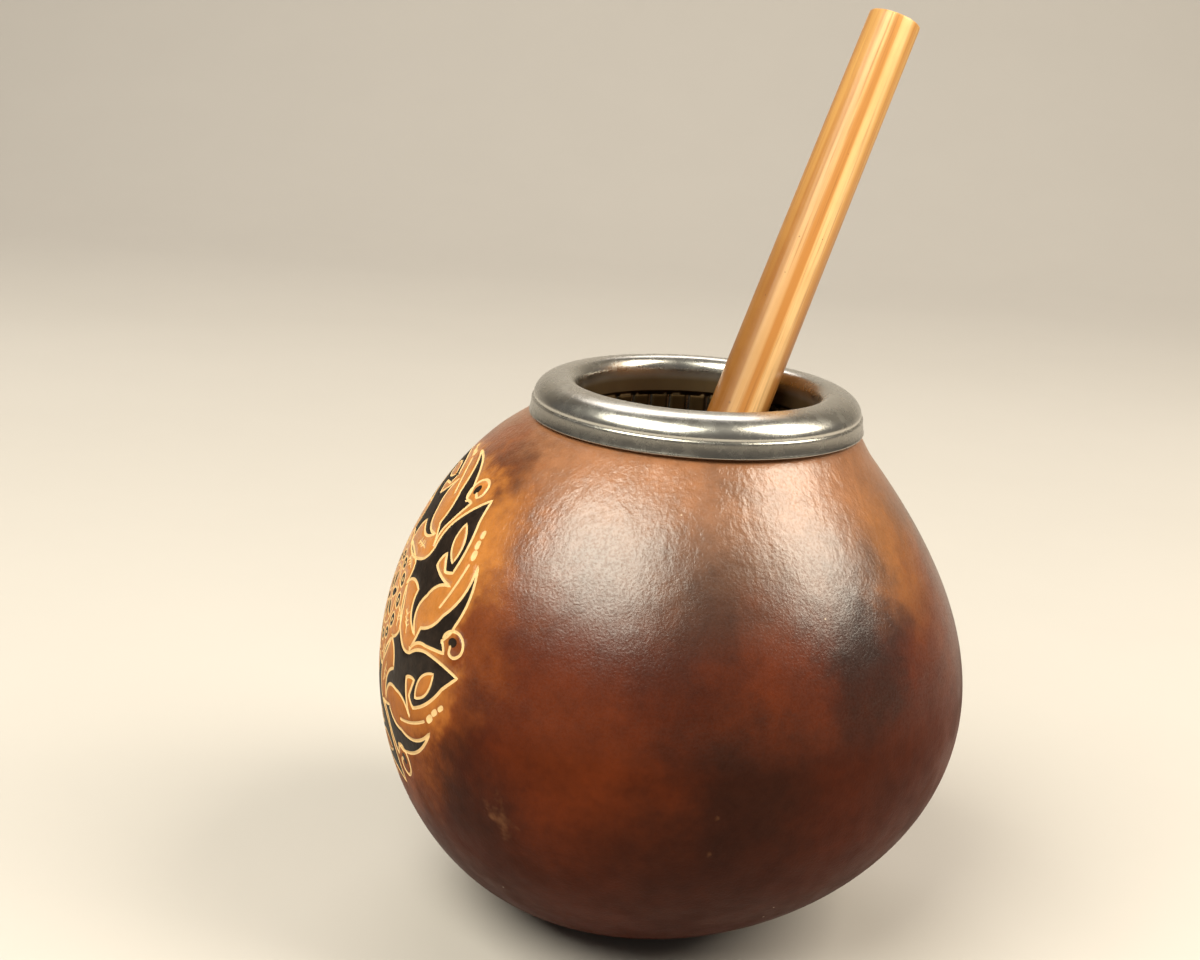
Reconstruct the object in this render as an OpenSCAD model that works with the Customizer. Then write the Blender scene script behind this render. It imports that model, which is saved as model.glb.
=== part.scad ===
// Mate gourd cup with a folded metal rim and a bamboo drinking straw.
// Units are millimetres, +Z is up, and the origin is the centre of the flat spot the cup rests on.

/* [Gourd shell] */
// Radius of the gourd at the middle of its body
mid_r = 48.5; // [38:0.1:60]
// Height of the middle of the body above the table
mid_z = 47.5; // [40:0.1:56]
// Half the height the body would have if both ends closed
half_h = 48.9; // [48.5:0.1:60]
// How much fuller the lower half is than the upper half
egg = 0.134; // [0:0.005:0.2]
// How much both ends are drawn in
pinch = 0.047; // [0:0.005:0.15]
// Thickness of the gourd's wall
wall = 4; // [2:0.1:6]
// Thickness of the floor inside the cup
floor_t = 4.6; // [2.5:0.1:8]
// Sideways offset of the body's middle from the rim's axis
belly_shift = 1.5; // [0:0.1:3]
// Sideways lean of the body's centre line
shift_lean = 1.65; // [0:0.05:3]
// Sideways bow of the centre line at both ends
shift_bow = 2.86; // [0:0.05:4]
// Sideways curl of the centre line, opposite at the two ends
shift_curl = 4.38; // [0:0.05:6]
// Height of the gentle lumps a grown gourd has
lump = 0.3; // [0:0.05:1]

/* [Metal rim] */
// Outer radius of the rim at its step line
rim_out_r = 27; // [25:0.1:36]
// Radius of the mouth inside the rim
rim_in_r = 19.8; // [14:0.1:21]
// Height of the rim's dome above the step line
dome_h = 3.65; // [3:0.05:6]
// Radius of the roll where the dome turns down into the mouth
roll_r = 2.2; // [1.4:0.1:3]
// Thickness of the metal sheet
sheet = 0.85; // [0.5:0.05:1.2]
// Width of the ledge at the step line
step_w = 0.25; // [0:0.05:0.6]
// Height of the plain band below the step line
skirt_h = 2.5; // [1.5:0.1:3]
// How far the band flares outwards over its height
skirt_flare = 0.35; // [0:0.05:1]
// Depth of the smooth band inside the mouth, measured down from the step line
band_depth = 2.3; // [1:0.1:4]
// Height of the groove below the smooth band
groove_h = 0.7; // [0.4:0.1:1.5]
// Depth of the groove into the sheet
groove_d = 0.4; // [0.1:0.05:0.5]
// Height of the row of tabs below the groove
tab_h = 3.2; // [2:0.1:5]
// How many tabs grip the inside of the neck
tab_count = 38; // [20:1:60]
// Width of the slot between two tabs
tab_slot = 0.45; // [0.3:0.05:1]
// How far the tabs' faces stand back from the smooth band
tab_back = 0.15; // [0:0.05:0.3]

/* [Straw] */
// Length of the straw above the lip of the mouth
straw_above = 66.5; // [40:0.5:90]
// Diameter of the straw at its upper end
straw_top_d = 8.95; // [7:0.05:10.5]
// Diameter of the straw at its foot
straw_foot_d = 10.6; // [8:0.05:12]
// Diameter of the hole through the straw
straw_bore_d = 5.8; // [4:0.1:6.5]
// Rounding of the straw's cut ends
straw_round = 0.5; // [0.1:0.05:1]
// Lean of the straw from upright, in degrees
straw_lean = 22.7; // [14:0.1:25]
// Direction of the lean, in degrees from +X towards +Y
straw_turn = 40.2; // [20:0.1:60]
// Direction from the rim's axis to where the straw meets the lip, in degrees
straw_lip_turn = 52.5; // [40:0.1:65]

/* [Fits] */
// Clearance between the rim and the gourd's neck
neck_gap = 0.25; // [0.15:0.05:0.6]
// Height of the rim's lower edge over the gourd's shoulder
skirt_lift = 0.95; // [0.6:0.05:2]
// Clearance between the straw and whatever it leans on
straw_gap = 0.35; // [0.15:0.05:0.6]

/* [Smoothness] */
// Sides around the gourd
gourd_sides = 72; // [36:4:80]
// Rings up each half of the gourd's outside
gourd_rings = 13; // [8:1:14]
// Steps in each quarter turn of the rim's profile
arc_steps = 9; // [5:1:14]

/* [Hidden] */
round_sides = 96;
lump_waves = 3;
fine_waves = 5;
fine_share = 0.4;
// how suddenly the centre line comes back under the rim at the neck
neck_turn = 7;
turn_step = 360 / gourd_sides;

// ---- the gourd's curves: radius and sideways centre at each height ----
function curve_r(r, s) = r * sqrt(max(0, 1 - s * s)) * (1 - egg * s - pinch * s * s);
function along(z, h) = (z - mid_z) / h;
function skin_r(z) = curve_r(mid_r, along(z, half_h));
function bowl_r(z) = curve_r(mid_r - wall, along(z, half_h - wall));
// the height, above the middle, at which the curve has narrowed to a given radius
function height_at(r, goal, lo, hi, n) =
    n == 0 ? lo
    : let (s = (lo + hi) / 2)
      curve_r(r, s) >= goal ? height_at(r, goal, s, hi, n - 1)
      : height_at(r, goal, lo, s, n - 1);
// the centre line starts over the flat spot, bows past the belly and ends near the rim's axis
function drift(s) = -belly_shift - shift_lean * s - shift_bow * s * s
    + shift_curl * s * s * s;
rim_shift = -drift(along(0, half_h));
function neck_rise(z) = min(1, max(0, (z - mid_z) / (rim_z - mid_z)));
function centre_x(z) =
    rim_shift + drift(along(z, half_h)) * (1 - pow(neck_rise(z), neck_turn));
// the bowl is centred under the rim by the time it reaches the tabs
function bowl_rise(z) = min(1, max(0, (z - mid_z) / (rim_z + tab_end - mid_z)));
function bowl_x(z) = rim_shift - (rim_shift - centre_x(z)) * (1 - pow(bowl_rise(z), 4));
function lump_fade(z) = sin(180 * min(1, max(0, z / (rim_z - skirt_h))));
function lump_at(z, a) =
    lump * lump_fade(z) * (sin(lump_waves * a + 2 * z)
    + fine_share * sin(fine_waves * a - 3 * z));

// ---- the neck, set by the folded rim that sits over it ----
neck_in_r = rim_in_r + sheet + neck_gap;
neck_out_r = rim_out_r - sheet - 3 * neck_gap;
curve_tries = 24;
// where the outside has narrowed to the neck, a little wider than the neck itself
neck_blend = 0.8 * skirt_h;
shoulder_top = mid_z
    + half_h * height_at(mid_r, neck_out_r + neck_blend, 0, 1, curve_tries);
bowl_top = mid_z
    + (half_h - wall) * height_at(mid_r - wall, neck_in_r, 0, 1, curve_tries);
// the rim's step line stands over the shoulder, and the neck's top edge under the dome
rim_z = shoulder_top + skirt_lift + skirt_h;
neck_top = rim_z + dome_h - sheet - neck_gap;
neck_shoulder = rim_z + dome_h / 5;
neck_inner_edge = rim_z + dome_h - roll_r;
crown_r = rim_in_r + roll_r;

// outside of the gourd, from the flat spot up to the neck
skin_z = concat(
    [for (i = [0 : gourd_rings]) mid_z * (1 - cos(90 * i / gourd_rings))],
    [for (i = [1 : gourd_rings])
        mid_z + (shoulder_top - mid_z) * sin(90 * i / gourd_rings)]);
skin = [for (z = skin_z) [skin_r(z), z]];
neck = [
    [neck_out_r, shoulder_top + 1],
    [neck_out_r, neck_shoulder],
    [crown_r + roll_r / 5, neck_top],
    [crown_r - roll_r / 5, neck_top],
    [neck_in_r, neck_inner_edge]];
// inside of the cup, from the neck down to the floor
bowl_z = concat(
    [for (i = [0 : gourd_rings - 2])
        mid_z + (bowl_top - mid_z) * cos(90 * i / (gourd_rings - 2))],
    [for (i = [1 : gourd_rings - 3])
        mid_z - (mid_z - floor_t) * sin(90 * i / (gourd_rings - 3))]);
bowl = [for (z = bowl_z) [bowl_r(z), z]];
shell = concat(skin, neck, bowl);
ring_count = len(shell);
first_neck = len(skin);
last_neck = len(skin) + len(neck) - 1;

function ring_lump(k, z, a) = k >= first_neck && k <= last_neck ? 0 : lump_at(z, a);
function ring_x(k, z) =
    k < first_neck ? centre_x(z) : k <= last_neck ? rim_shift : bowl_x(z);
function shell_point(k, a) =
    let (z = shell[k][1], r = shell[k][0] + ring_lump(k, z, a))
    [ring_x(k, z) + r * cos(a), r * sin(a), z];
function at(k, i) = k * gourd_sides + i % gourd_sides;

module gourd() {
    points = concat(
        [for (k = [0 : ring_count - 1]) for (i = [0 : gourd_sides - 1])
            shell_point(k, i * turn_step)],
        [[centre_x(0), 0, 0], [bowl_x(floor_t), 0, floor_t]]);
    under = ring_count * gourd_sides;
    sides = [for (k = [0 : ring_count - 2]) for (i = [0 : gourd_sides - 1])
        each [[at(k, i), at(k + 1, i), at(k + 1, i + 1)],
              [at(k, i), at(k + 1, i + 1), at(k, i + 1)]]];
    base = [for (i = [0 : gourd_sides - 1]) [under, at(0, i), at(0, i + 1)]];
    inside = [for (i = [0 : gourd_sides - 1])
        [under + 1, at(ring_count - 1, i + 1), at(ring_count - 1, i)]];
    color([0.56, 0.31, 0.15]) polyhedron(points, concat(sides, base, inside), convexity = 6);
}

// ---- the rim: one folded sheet, drawn as a profile and turned about its axis ----
// an arc leaves out its first point, which ends the stretch before it
function arc(c, rx, ry, a0, a1) =
    [for (i = [1 : arc_steps])
        let (a = a0 + (a1 - a0) * i / arc_steps)
        [c[0] + rx * cos(a), c[1] + ry * sin(a)]];

dome_r = rim_out_r - step_w;
roll_z = dome_h - roll_r;
tab_top = -band_depth - groove_h;
tab_end = tab_top - tab_h;
collar_out_r = rim_in_r + sheet;

module rim_profile() {
    polygon(concat(
        [[rim_out_r + skirt_flare, -skirt_h], [rim_out_r, 0], [dome_r, step_w]],
        arc([crown_r, step_w], dome_r - crown_r, dome_h - step_w, 0, 90),
        arc([crown_r, roll_z], roll_r, roll_r, 90, 180),
        [[rim_in_r, -band_depth],
         [rim_in_r + groove_d, -band_depth],
         [rim_in_r + groove_d, tab_top],
         [rim_in_r + tab_back, tab_top],
         [rim_in_r + tab_back, tab_end],
         [collar_out_r, tab_end],
         [collar_out_r, roll_z]],
        arc([crown_r, roll_z], roll_r - sheet, roll_r - sheet, 180, 90),
        arc([crown_r, step_w], dome_r - crown_r - sheet, dome_h - step_w - sheet, 90, 0),
        [[rim_out_r - sheet, 0], [rim_out_r + skirt_flare - sheet, -skirt_h]]));
}

module rim() {
    color([0.78, 0.76, 0.72]) translate([rim_shift, 0, rim_z]) difference() {
        rotate_extrude($fn = round_sides) rim_profile();
        for (i = [0 : tab_count - 1])
            rotate(i * 360 / tab_count)
                translate([rim_in_r - sheet, -tab_slot / 2, tab_end - groove_h])
                    cube([3 * sheet, tab_slot, tab_h + 1.5 * groove_h]);
    }
}

// ---- the straw: it leans on the lip and its foot stands inside the bowl ----
straw_dir = [sin(straw_lean) * cos(straw_turn),
             sin(straw_lean) * sin(straw_turn), cos(straw_lean)];
side_a = [cos(straw_lean) * cos(straw_turn),
          cos(straw_lean) * sin(straw_turn), -sin(straw_lean)];
side_b = [-sin(straw_turn), cos(straw_turn), 0];
lip_skew = straw_lip_turn - straw_turn;
// the straw's thickness at the lip, taken between its two ends
lip_share = 0.45;
lip_r = (straw_top_d * (1 - lip_share) + straw_foot_d * lip_share) / 2;
lip_reach = norm([lip_r * cos(lip_skew) / cos(straw_lean), lip_r * sin(lip_skew)]);
lip_cross_r = rim_in_r - straw_gap - lip_reach;
lip_z = rim_z + roll_z;
lip_point = [rim_shift + lip_cross_r * cos(straw_lip_turn),
             lip_cross_r * sin(straw_lip_turn), lip_z];

foot_sides = 24;
foot_tries = 18;
deepest = 140;
function edge_point(t, a) =
    lip_point - t * straw_dir
    + straw_foot_d / 2 * (cos(a) * side_a + sin(a) * side_b);
// the bowl's wall slopes near the floor, so its clearance is measured across the slope
function room_at(p) =
    min((bowl_r(p[2]) - lump - norm([p[0] - bowl_x(p[2]), p[1]]))
        * cos(80 * max(0, -along(p[2], half_h))),
        p[2] - floor_t);
function room(t) = min([for (i = [0 : foot_sides - 1])
    room_at(edge_point(t, i * 360 / foot_sides))]);
function reach(lo, hi, n) =
    n == 0 ? lo
    : let (mid = (lo + hi) / 2)
      room(mid) >= straw_gap ? reach(mid, hi, n - 1) : reach(lo, mid, n - 1);
straw_below = reach(20, deepest, foot_tries);
straw_length = straw_below + straw_above;

module straw() {
    bore = straw_bore_d / 2;
    low = straw_foot_d / 2;
    high = straw_top_d / 2;
    color([0.86, 0.62, 0.36]) translate(lip_point - straw_below * straw_dir)
        rotate([0, straw_lean, straw_turn]) rotate_extrude($fn = round_sides)
            polygon([[bore, straw_round / 2], [bore + straw_round / 2, 0],
                     [low - straw_round, 0], [low, straw_round],
                     [high, straw_length - straw_round],
                     [high - straw_round * 0.3, straw_length - straw_round * 0.3],
                     [high - straw_round, straw_length],
                     [bore + straw_round / 2, straw_length],
                     [bore, straw_length - straw_round / 2]]);
}

gourd();
rim();
straw();
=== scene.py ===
"""Looks for a mate cup: a carved gourd shell, a folded metal rim and a bamboo straw, on a pale studio floor."""

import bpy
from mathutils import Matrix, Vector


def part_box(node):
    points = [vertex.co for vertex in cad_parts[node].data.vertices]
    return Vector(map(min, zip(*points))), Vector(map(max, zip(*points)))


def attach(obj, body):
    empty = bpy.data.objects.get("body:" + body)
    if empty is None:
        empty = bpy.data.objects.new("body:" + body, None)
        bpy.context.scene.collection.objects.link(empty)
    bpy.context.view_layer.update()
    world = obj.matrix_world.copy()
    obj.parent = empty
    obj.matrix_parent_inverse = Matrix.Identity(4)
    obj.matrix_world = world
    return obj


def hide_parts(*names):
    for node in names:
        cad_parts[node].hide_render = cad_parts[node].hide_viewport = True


bl_info = {
    "name": "Mate gourd cup",
    "version": (1, 0, 0),
    "blender": (4, 5, 0),
    "location": "3D View > Sidebar > Mate cup",
    "description": "Builds a carved gourd cup with a folded metal rim and a bamboo straw over its CAD frame",
    "category": "Object",
}

import math
from functools import partial

import bmesh
import bpy
import numpy as np
from bpy.props import FloatProperty, FloatVectorProperty, IntProperty, PointerProperty
from mathutils import Matrix, Vector
from mathutils.geometry import delaunay_2d_cdt

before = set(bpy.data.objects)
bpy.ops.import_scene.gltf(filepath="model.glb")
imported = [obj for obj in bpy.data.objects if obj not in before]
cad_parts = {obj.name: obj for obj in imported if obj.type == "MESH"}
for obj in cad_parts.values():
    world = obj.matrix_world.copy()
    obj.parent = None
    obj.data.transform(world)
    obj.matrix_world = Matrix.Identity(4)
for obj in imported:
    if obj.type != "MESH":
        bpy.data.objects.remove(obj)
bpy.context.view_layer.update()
RIM_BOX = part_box("rim")
STRAW_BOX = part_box("straw")

# sizes are in millimetres until mesh_piece() makes metres of them
MM = 0.001
# keeps a length from being zero where something is divided by it
TINY = 1e-9
# how often a search for a place on the skin halves its range
HALVINGS = 44
# where the CAD rim stands: its axis and its top
RIM_X = (RIM_BOX[0][0] + RIM_BOX[1][0]) / 2 / MM
RIM_Y = (RIM_BOX[0][1] + RIM_BOX[1][1]) / 2 / MM
RIM_TOP = RIM_BOX[1][2] / MM


# ---------------------------------------------------------------- sizes and colours

Angle = partial(FloatProperty, subtype="ANGLE")
Colour = partial(FloatVectorProperty, subtype="COLOR", size=3)


class GourdLook(bpy.types.PropertyGroup):
    mid_radius: FloatProperty(
        name="Middle radius", description="Radius of the gourd at the middle of its body, in mm", default=48.5)
    mid_height: FloatProperty(
        name="Middle height", description="Height of the body's middle above the table, in mm", default=47.5)
    half_height: FloatProperty(
        name="Half height", description="Half the height of the closed body, in mm", default=48.9)
    egg: FloatProperty(name="Egg", description="How much fuller the lower half is", default=0.134)
    pinch: FloatProperty(name="Pinch", description="How much both ends are drawn in", default=0.047)
    wall: FloatProperty(name="Wall", description="Thickness of the gourd's wall, in mm", default=4.0)
    floor: FloatProperty(name="Floor", description="Thickness of the floor inside, in mm", default=4.6)
    lump: FloatProperty(name="Lumps", description="Height of the natural lumps, in mm", default=0.3)
    columns: IntProperty(name="Columns", description="Mesh columns round the gourd", default=240, min=96)
    rows: IntProperty(name="Rows", description="Mesh rows up the outside", default=120, min=48)
    carving_turn: Angle(
        name="Carving direction", description="Direction the carved rosette faces", default=math.radians(193.4))
    carving_height: FloatProperty(
        name="Carving height", description="Height of the rosette's centre above the table, in mm", default=55.3)
    carving_roll: Angle(
        name="Carving roll", description="Turn of the rosette about its own centre", default=math.radians(-5.8))
    cut_width: FloatProperty(name="Cut width", description="Width of a carved line, in mm", default=0.54)
    cut_depth: FloatProperty(name="Cut depth", description="Depth of a carved line, in mm", default=0.36)
    amber: Colour(
        name="Amber skin", description="Skin colour around the carving", default=(0.56, 0.205, 0.036))
    brown: Colour(
        name="Brown skin", description="Skin colour of the belly", default=(0.088, 0.0135, 0.0022))
    honey: Colour(
        name="Honey skin", description="Skin colour between amber and brown", default=(0.22, 0.050, 0.007))
    rust: Colour(
        name="Rust skin", description="Skin colour of the warmer blotches", default=(0.138, 0.0245, 0.0042))
    # partly skin colour, partly a painted highlight: the shoulder is lighter where the lamps' highlight spreads up to
    # the neck
    shoulder: Colour(
        name="Shoulder skin", description="Skin colour up by the neck", default=(0.37, 0.152, 0.062))
    # partly skin colour, partly painted sheen: the grey haze of the highlights over the upper body
    haze: Colour(
        name="Hazy skin", description="Skin colour between belly and shoulder", default=(0.165, 0.078, 0.041))
    smoke: Colour(
        name="Smoked skin", description="Skin colour of the scorched patches", default=(0.022, 0.007, 0.0035))
    cut_colour: Colour(
        name="Cut colour", description="Colour of the pale flesh in the cuts", default=(0.80, 0.54, 0.25))
    scorch: Colour(
        name="Scorch colour", description="Colour of the blackened fields", default=(0.010, 0.006, 0.004))


class RimLook(bpy.types.PropertyGroup):
    out_radius: FloatProperty(name="Outer radius", description="Radius at the step line, in mm", default=27.0)
    in_radius: FloatProperty(name="Mouth radius", description="Radius of the mouth, in mm", default=19.8)
    dome: FloatProperty(
        name="Dome height", description="Height of the dome over the step line, in mm", default=3.65)
    roll: FloatProperty(name="Roll", description="Radius of the roll into the mouth, in mm", default=2.2)
    sheet: FloatProperty(name="Sheet", description="Thickness of the metal sheet, in mm", default=0.85)
    skirt: FloatProperty(name="Skirt", description="Height of the band below the step line, in mm", default=2.5)
    flare: FloatProperty(name="Flare", description="How far the band flares out, in mm", default=0.35)
    band: FloatProperty(name="Band", description="Depth of the smooth band in the mouth, in mm", default=2.3)
    groove: FloatProperty(name="Groove", description="Height of the groove under the band, in mm", default=0.7)
    tab: FloatProperty(name="Tab height", description="Height of a gripping tab, in mm", default=3.2)
    tabs: IntProperty(name="Tabs", description="Number of tabs round the collar", default=38, min=8)
    slot: FloatProperty(name="Slot", description="Width of the slot between tabs, in mm", default=0.45)
    metal: Colour(name="Metal", description="Colour of the polished sheet", default=(0.60, 0.585, 0.54))


class StrawLook(bpy.types.PropertyGroup):
    lean: Angle(name="Lean", description="Lean from upright", default=math.radians(22.7))
    turn: Angle(name="Turn", description="Direction of the lean", default=math.radians(40.2))
    foot_width: FloatProperty(name="Foot width", description="Diameter at the foot, in mm", default=10.6)
    top_width: FloatProperty(name="Top width", description="Diameter at the top, in mm", default=8.95)
    bore: FloatProperty(name="Bore", description="Diameter of the hole, in mm", default=5.8)
    bow: FloatProperty(name="Bow", description="How far the middle bows out, in mm", default=0.5)
    honey: Colour(name="Honey", description="Main colour of the cane", default=(0.62, 0.285, 0.085))
    streak: Colour(name="Streak", description="Colour of the darker streaks", default=(0.48, 0.19, 0.045))


class StageLook(bpy.types.PropertyGroup):
    camera_back: FloatProperty(
        name="Camera distance", description="Distance in front of the rim's axis, in mm", default=303.76)
    camera_up: FloatProperty(
        name="Camera height", description="Height over the rim's step line, in mm", default=66.15)
    pan: Angle(name="Pan", description="Turn of the view to the left", default=math.radians(2.83))
    tilt: Angle(name="Tilt", description="Downward tilt of the view", default=math.radians(14.789))
    roll: Angle(name="Roll", description="Roll of the view", default=math.radians(3.723))
    lens: FloatProperty(name="Lens", description="Focal length for a 36 mm wide sensor, in mm", default=57.0)
    floor_colour: Colour(
        name="Floor", description="Colour of the floor and backdrop", default=(0.56, 0.52, 0.48))


# ---------------------------------------------------------------- node helpers

# the colour sockets of a Mix node
MIX_A, MIX_B, MIX_RESULT = 6, 7, 2
# the colour of the light that the studio and the far floor give
PALE_LIGHT = (1.0, 0.94, 0.87, 1.0)


def new_material(name, **values):
    """A material with one Principled shader, values for the shader's own sockets, and its place in mm."""
    material = bpy.data.materials.new(name)
    material.use_nodes = True
    tree = material.node_tree
    tree.nodes.clear()
    out = tree.nodes.new("ShaderNodeOutputMaterial")
    shader = tree.nodes.new("ShaderNodeBsdfPrincipled")
    tree.links.new(shader.outputs["BSDF"], out.inputs["Surface"])
    for socket, value in values.items():
        shader.inputs[socket.replace("_", " ")].default_value = value
    return material, tree, shader, millimetres(tree)


def put(tree, source, target):
    """Sets a socket from a number, a vector, a colour or another node's output."""
    if isinstance(source, bpy.types.NodeSocket):
        tree.links.new(source, target)
    elif target.type == "RGBA" and len(source) == 3:
        target.default_value = (*source, 1.0)
    else:
        target.default_value = source


def math_node(tree, operation, a, b=None):
    node = tree.nodes.new("ShaderNodeMath")
    node.operation = operation
    put(tree, a, node.inputs[0])
    if b is not None:
        put(tree, b, node.inputs[1])
    return node.outputs[0]


def times(tree, a, b):
    return math_node(tree, "MULTIPLY", a, b)


def vector_node(tree, operation, *sources):
    node = tree.nodes.new("ShaderNodeVectorMath")
    node.operation = operation
    for source, target in zip(sources, node.inputs):
        put(tree, source, target)
    return node.outputs["Value" if operation in ("LENGTH", "DISTANCE", "DOT_PRODUCT") else "Vector"]


def axis_value(tree, vector, axis):
    """One of a vector's three parts, X, Y or Z."""
    node = tree.nodes.new("ShaderNodeSeparateXYZ")
    tree.links.new(vector, node.inputs[0])
    return node.outputs[axis]


def ramp(tree, value, low, high, to_low=0.0, to_high=1.0, smooth=True):
    node = tree.nodes.new("ShaderNodeMapRange")
    node.interpolation_type = "SMOOTHSTEP" if smooth else "LINEAR"
    put(tree, value, node.inputs["Value"])
    for name, number in (("From Min", low), ("From Max", high), ("To Min", to_low), ("To Max", to_high)):
        put(tree, number, node.inputs[name])
    return node.outputs["Result"]


def mix(tree, factor, a, b, blend="MIX"):
    node = tree.nodes.new("ShaderNodeMix")
    node.data_type = "RGBA"
    node.blend_type = blend
    put(tree, factor, node.inputs["Factor"])
    put(tree, a, node.inputs[MIX_A])
    put(tree, b, node.inputs[MIX_B])
    return node.outputs[MIX_RESULT]


def lay(tree, colour, mask, strength, shade, blend="MIX"):
    """Lays a shade over a colour where the mask is, at the given strength."""
    return mix(tree, times(tree, mask, strength), colour, shade, blend)


def dimmed(colour, share):
    return tuple(c * share for c in colour)


def millimetres(tree, stretch=(1.0, 1.0, 1.0)):
    """The object's own coordinates in millimetres, optionally stretched."""
    coordinates = tree.nodes.new("ShaderNodeTexCoord")
    return vector_node(tree, "MULTIPLY", coordinates.outputs["Object"], tuple(s / MM for s in stretch))


def noise(tree, vector, size, detail=3.0, roughness=0.55, output="Fac"):
    node = tree.nodes.new("ShaderNodeTexNoise")
    tree.links.new(vector, node.inputs["Vector"])
    node.inputs["Scale"].default_value = 1.0 / size
    node.inputs["Detail"].default_value = detail
    node.inputs["Roughness"].default_value = roughness
    return node.outputs[output]


def group_shell(name, **inputs):
    """A node group with a vector and named float inputs, and one float output called Mask."""
    group = bpy.data.node_groups.new(name, "ShaderNodeTree")
    group.interface.new_socket(name="Vector", in_out="INPUT", socket_type="NodeSocketVector")
    for label, value in inputs.items():
        socket = group.interface.new_socket(name=label, in_out="INPUT", socket_type="NodeSocketFloat")
        socket.default_value = value
    group.interface.new_socket(name="Mask", in_out="OUTPUT", socket_type="NodeSocketFloat")
    return group, group.nodes.new("NodeGroupInput"), group.nodes.new("NodeGroupOutput")


def mottle_group():
    """Soft blotches of one size, pushed to a chosen contrast."""
    group, enter, leave = group_shell("Mottle", Size=10.0, Low=0.4, High=0.6)
    blotch = group.nodes.new("ShaderNodeTexNoise")
    group.links.new(enter.outputs["Vector"], blotch.inputs["Vector"])
    group.links.new(math_node(group, "DIVIDE", 1.0, enter.outputs["Size"]), blotch.inputs["Scale"])
    blotch.inputs["Detail"].default_value = 4.0
    blotch.inputs["Roughness"].default_value = 0.6
    mask = ramp(group, blotch.outputs["Fac"], enter.outputs["Low"], enter.outputs["High"])
    group.links.new(mask, leave.inputs["Mask"])
    return group


def speck_group():
    """Sparse tiny specks of dust and nicks."""
    group, enter, leave = group_shell("Specks", Spacing=5.0, Size=0.03)
    cells = group.nodes.new("ShaderNodeTexVoronoi")
    group.links.new(enter.outputs["Vector"], cells.inputs["Vector"])
    group.links.new(math_node(group, "DIVIDE", 1.0, enter.outputs["Spacing"]), cells.inputs["Scale"])
    chance = group.nodes.new("ShaderNodeTexWhiteNoise")
    chance.noise_dimensions = "3D"
    group.links.new(cells.outputs["Position"], chance.inputs["Vector"])
    reach = times(group, chance.outputs["Value"], enter.outputs["Size"])
    group.links.new(math_node(group, "LESS_THAN", cells.outputs["Distance"], reach), leave.inputs["Mask"])
    return group


def use_group(tree, name, build, **values):
    """Places a shared group in a material with its own values, and builds the group when it is first used."""
    node = tree.nodes.new("ShaderNodeGroup")
    node.node_tree = bpy.data.node_groups.get(name) or build()
    for socket, value in values.items():
        put(tree, value, node.inputs[socket])
    return node.outputs["Mask"]


def mottle(tree, vector, size, low, high):
    return use_group(tree, "Mottle", mottle_group, Vector=vector, Size=size, Low=low, High=high)


def specks(tree, vector, spacing, size):
    return use_group(tree, "Specks", speck_group, Vector=vector, Spacing=spacing, Size=size)


def bump(tree, shader, height, distance, strength):
    node = tree.nodes.new("ShaderNodeBump")
    node.inputs["Strength"].default_value = strength
    node.inputs["Distance"].default_value = distance * MM
    tree.links.new(height, node.inputs["Height"])
    tree.links.new(node.outputs["Normal"], shader.inputs["Normal"])
    # the varnish follows the same relief
    tree.links.new(node.outputs["Normal"], shader.inputs["Coat Normal"])


# ---------------------------------------------------------------- the gourd's form

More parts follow.
